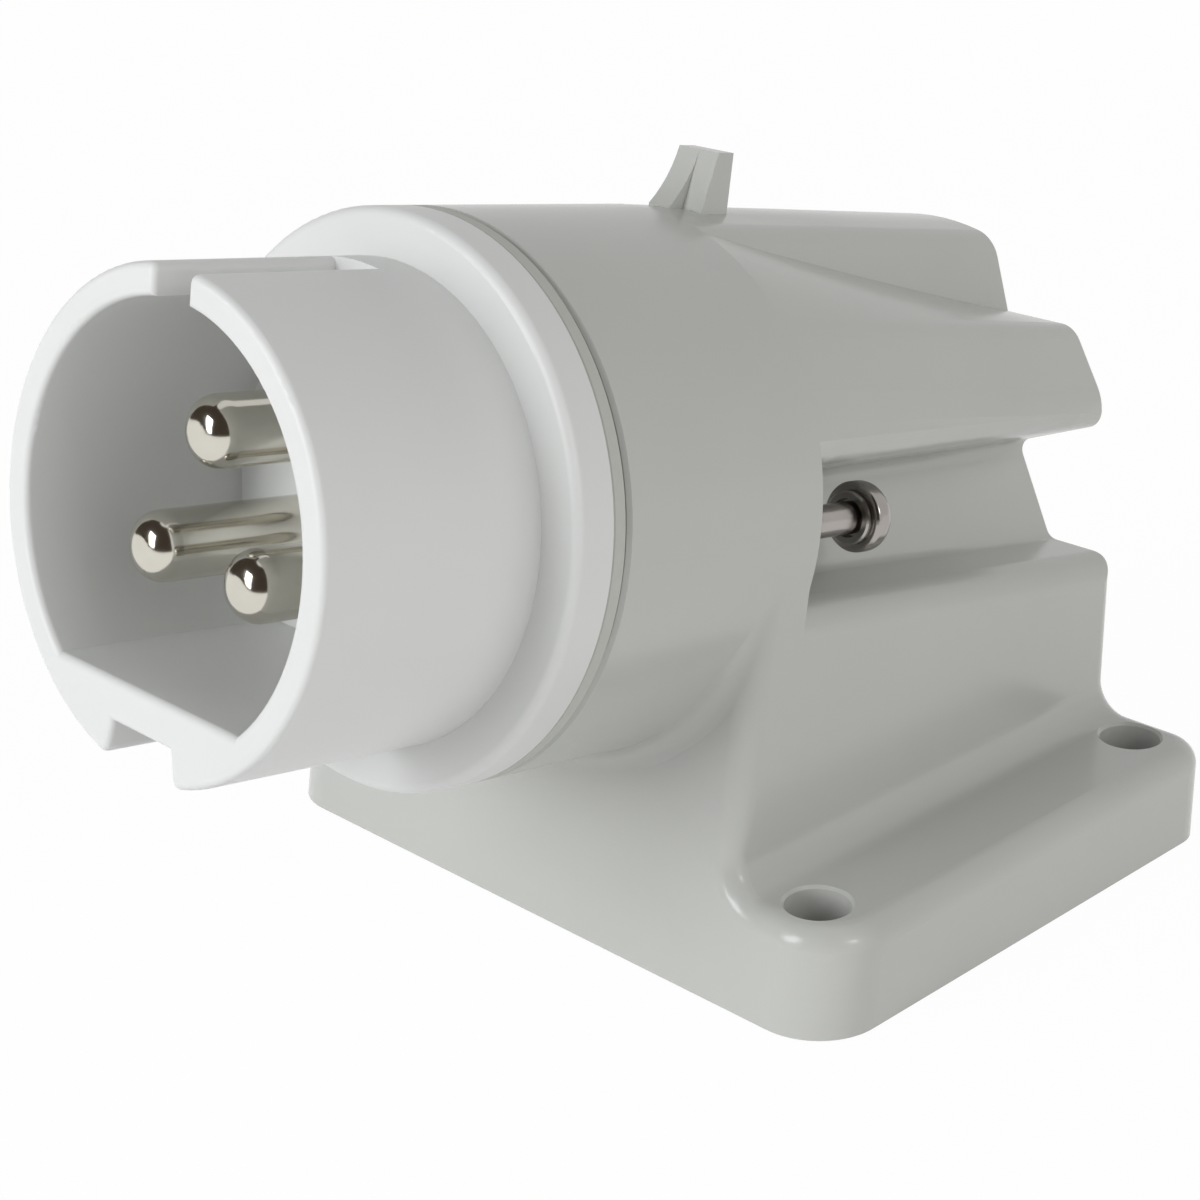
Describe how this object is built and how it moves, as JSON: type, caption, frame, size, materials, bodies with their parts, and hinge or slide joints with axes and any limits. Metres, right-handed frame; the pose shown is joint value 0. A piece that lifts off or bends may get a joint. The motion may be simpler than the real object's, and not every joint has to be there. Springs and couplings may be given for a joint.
{
  "type": "panel mount industrial plug",
  "caption": "Angled panel-mount industrial inlet plug: grey housing on a bolt-down base, round collar, white shrouded insert with round contact pins, captive side screws and a lid catch.",
  "frame": {"origin": "centre of the rectangle of base fixing holes, on the underside that rests on the panel", "axes": "+Z out of the panel, -Y towards the plug's mouth, +X to the right when looking into the mouth"},
  "size_m": [0.0866, 0.1179, 0.0815],
  "materials": {
    "housing_plastic": "light grey moulding, semi-gloss",
    "insert_plastic": "white moulding, semi-gloss",
    "seal_rubber": "grey, matt",
    "contact_metal": "nickel-plated, polished",
    "screw_steel": "bright zinc plating",
    "washer_steel": "bright zinc plating",
    "keeper_plastic": "natural plastic, matt",
    "carrier_plastic": "off-white, matt"
  },
  "bodies": {
    "root": {"housing": "housing_plastic", "plug_insert": "insert_plastic", "flange_seal": "seal_rubber", "contact_pin_1": "contact_metal", "contact_pin_2": "contact_metal", "contact_pin_3": "contact_metal", "fixing_screw_right": "screw_steel", "fixing_screw_left": "screw_steel", "fixing_washer_right": "washer_steel", "fixing_washer_left": "washer_steel", "screw_keeper_right": "keeper_plastic", "screw_keeper_left": "keeper_plastic", "contact_carrier": "carrier_plastic", "carrier_screw_1": "screw_steel", "carrier_screw_2": "screw_steel", "carrier_screw_3": "screw_steel", "terminal_screw_1": "screw_steel", "terminal_screw_2": "screw_steel", "terminal_screw_3": "screw_steel"}
  },
  "joints": []
}
